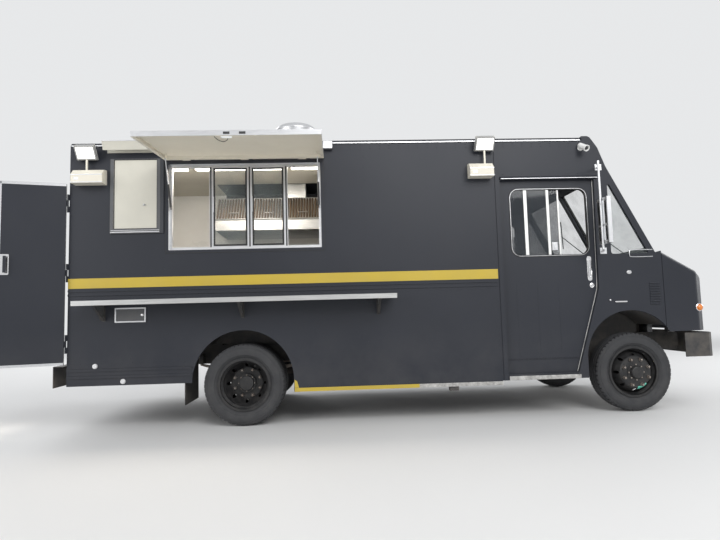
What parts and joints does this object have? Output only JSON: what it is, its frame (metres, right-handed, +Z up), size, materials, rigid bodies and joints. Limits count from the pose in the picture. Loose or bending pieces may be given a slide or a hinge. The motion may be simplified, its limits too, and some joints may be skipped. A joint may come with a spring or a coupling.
{
  "type": "food truck",
  "caption": "Step van fitted out as a food truck: raised serving hatch over a sliding window, fold-down shelf, tilting bonnet, sliding cab doors, rear door and twin rear wheels.",
  "frame": {"origin": "on the ground under the middle of the truck's box", "axes": "+X forward, +Y towards the driver's left side, +Z up"},
  "size_m": [7.2346, 3.6158, 3.4581],
  "materials": {
    "black_paint": "satin",
    "frame_paint": "satin",
    "cream_paint": "satin",
    "aluminium": "satin",
    "stainless": "brushed",
    "bare_steel": "worn",
    "cast_iron": "rough",
    "tyre": "matte",
    "wheel_paint": "satin",
    "glass": "clear",
    "lamp_plastic": "clear",
    "black_plastic": "matte",
    "seat_cover": "matte",
    "floor_plate": "worn"
  },
  "bodies": {
    "truck": {"chassis_frame": "frame_paint", "leaf_springs": "bare_steel", "front_axle": "cast_iron", "rear_axle": "cast_iron", "engine_block": "cast_iron", "radiator": "aluminium", "fuel_tank": "frame_paint", "exhaust_pipe": "bare_steel", "bumpers": "black_paint", "body_floor": "floor_plate", "side_wall_right": "black_paint", "side_wall_left": "black_paint", "rear_wall": "black_paint", "roof": "black_paint", "cab_floor": "floor_plate", "cab_side_right": "black_paint", "cab_side_left": "black_paint", "front_cap": "black_paint", "window_glass": "glass", "mirrors": "black_plastic", "dashboard": "black_plastic", "driver_seat": "seat_cover", "serving_window": "aluminium", "serving_shelf": "stainless", "side_window": "cream_paint", "kitchen_counters": "stainless", "extractor_hood": "stainless", "roof_fan": "aluminium", "flood_lights": "cream_paint", "truck_lamps": "lamp_plastic", "wipers": "black_plastic"},
    "hood": {"hood": "black_paint", "headlamps": "lamp_plastic"},
    "hatch": {"hatch": "cream_paint"},
    "strut_tube_front": {"strut_tube_front": "black_paint"},
    "strut_tube_rear": {"strut_tube_rear": "black_paint"},
    "strut_rod_front": {"strut_rod_front": "bare_steel"},
    "strut_rod_rear": {"strut_rod_rear": "bare_steel"},
    "cab_door_right": {"cab_door_right": "black_paint", "door_glass_right": "glass"},
    "cab_door_left": {"cab_door_left": "black_paint", "door_glass_left": "glass"},
    "rear_door": {"rear_door": "black_paint"},
    "knuckle_right": {"knuckle_right": "cast_iron"},
    "knuckle_left": {"knuckle_left": "cast_iron"},
    "tie_rod": {"tie_rod": "bare_steel"},
    "front_wheel_right": {"front_tyre_right": "tyre", "front_wheel_right": "wheel_paint"},
    "front_wheel_left": {"front_tyre_left": "tyre", "front_wheel_left": "wheel_paint"},
    "rear_wheels_right": {"rear_tyres_right": "tyre", "rear_wheels_right": "wheel_paint"},
    "rear_wheels_left": {"rear_tyres_left": "tyre", "rear_wheels_left": "wheel_paint"}
  },
  "joints": [
    {"name": "hood_tilt", "type": "hinge", "parent": "truck", "child": "hood", "pos_m": [3.5273, 0.30794, 0.838], "axis": [0, 1, 0], "range_deg": [0, 50]},
    {"name": "hatch_swing", "type": "hinge", "parent": "truck", "child": "hatch", "pos_m": [-1.2927, -0.88206, 2.686], "axis": [1, 0, 0], "range_deg": [0, 86]},
    {"name": "strut_front_swing", "type": "hinge", "parent": "truck", "child": "strut_tube_front", "pos_m": [-0.5467, -0.85706, 2.19], "axis": [1, 0, 0], "range_deg": [-23.28, 0.5]},
    {"name": "strut_front_slide", "type": "slide", "parent": "strut_tube_front", "child": "strut_rod_front", "axis": [0, 0.3872, -0.922], "range_m": [-0.001, 0.1731]},
    {"name": "strut_rear_swing", "type": "hinge", "parent": "truck", "child": "strut_tube_rear", "pos_m": [-2.0387, -0.85706, 2.19], "axis": [1, 0, 0], "range_deg": [-23.28, 0.5]},
    {"name": "strut_rear_slide", "type": "slide", "parent": "strut_tube_rear", "child": "strut_rod_rear", "axis": [0, 0.3872, -0.922], "range_m": [-0.001, 0.1731]},
    {"name": "cab_door_right_slide", "type": "slide", "parent": "truck", "child": "cab_door_right", "axis": [-1, 0, 0], "range_m": [0, 0.8]},
    {"name": "cab_door_left_slide", "type": "slide", "parent": "truck", "child": "cab_door_left", "axis": [-1, 0, 0], "range_m": [0, 0.8]},
    {"name": "rear_door_swing", "type": "hinge", "parent": "truck", "child": "rear_door", "pos_m": [-3.0507, -0.87706, 1.555], "axis": [0, 0, 1], "range_deg": [-106, 59]},
    {"name": "steer_right", "type": "hinge", "parent": "truck", "child": "knuckle_right", "pos_m": [2.6853, -0.54206, 0.4055], "axis": [0, 0, 1], "range_deg": [-32, 32]},
    {"name": "steer_left", "type": "hinge", "parent": "truck", "child": "knuckle_left", "pos_m": [2.6853, 1.15794, 0.4055], "axis": [0, 0, 1], "range_deg": [-33, 33]},
    {"name": "tie_rod_slide", "type": "slide", "parent": "truck", "child": "tie_rod", "axis": [0, 1, 0], "range_m": [-0.095, 0.095]},
    {"name": "front_right_spin", "type": "hinge", "parent": "knuckle_right", "child": "front_wheel_right", "pos_m": [2.6853, -0.67706, 0.4055], "axis": [0, 1, 0], "continuous": true},
    {"name": "front_left_spin", "type": "hinge", "parent": "knuckle_left", "child": "front_wheel_left", "pos_m": [2.6853, 1.29294, 0.4055], "axis": [0, 1, 0], "continuous": true},
    {"name": "rear_right_spin", "type": "hinge", "parent": "truck", "child": "rear_wheels_right", "pos_m": [-1.3277, -0.72206, 0.4055], "axis": [0, 1, 0], "continuous": true},
    {"name": "rear_left_spin", "type": "hinge", "parent": "truck", "child": "rear_wheels_left", "pos_m": [-1.3277, 1.33794, 0.4055], "axis": [0, 1, 0], "continuous": true}
  ],
  "couplings": [
    {"joint": "strut_front_swing", "follows": "hatch_swing", "ratio": -0.26488},
    {"joint": "strut_rear_swing", "follows": "hatch_swing", "ratio": -0.26488},
    {"joint": "strut_front_slide", "follows": "hatch_swing", "m_per_rad": 0.11463},
    {"joint": "strut_rear_slide", "follows": "hatch_swing", "m_per_rad": 0.11463},
    {"joint": "steer_left", "follows": "steer_right", "ratio": 1},
    {"joint": "tie_rod_slide", "follows": "steer_right", "m_per_rad": -0.16}
  ]
}
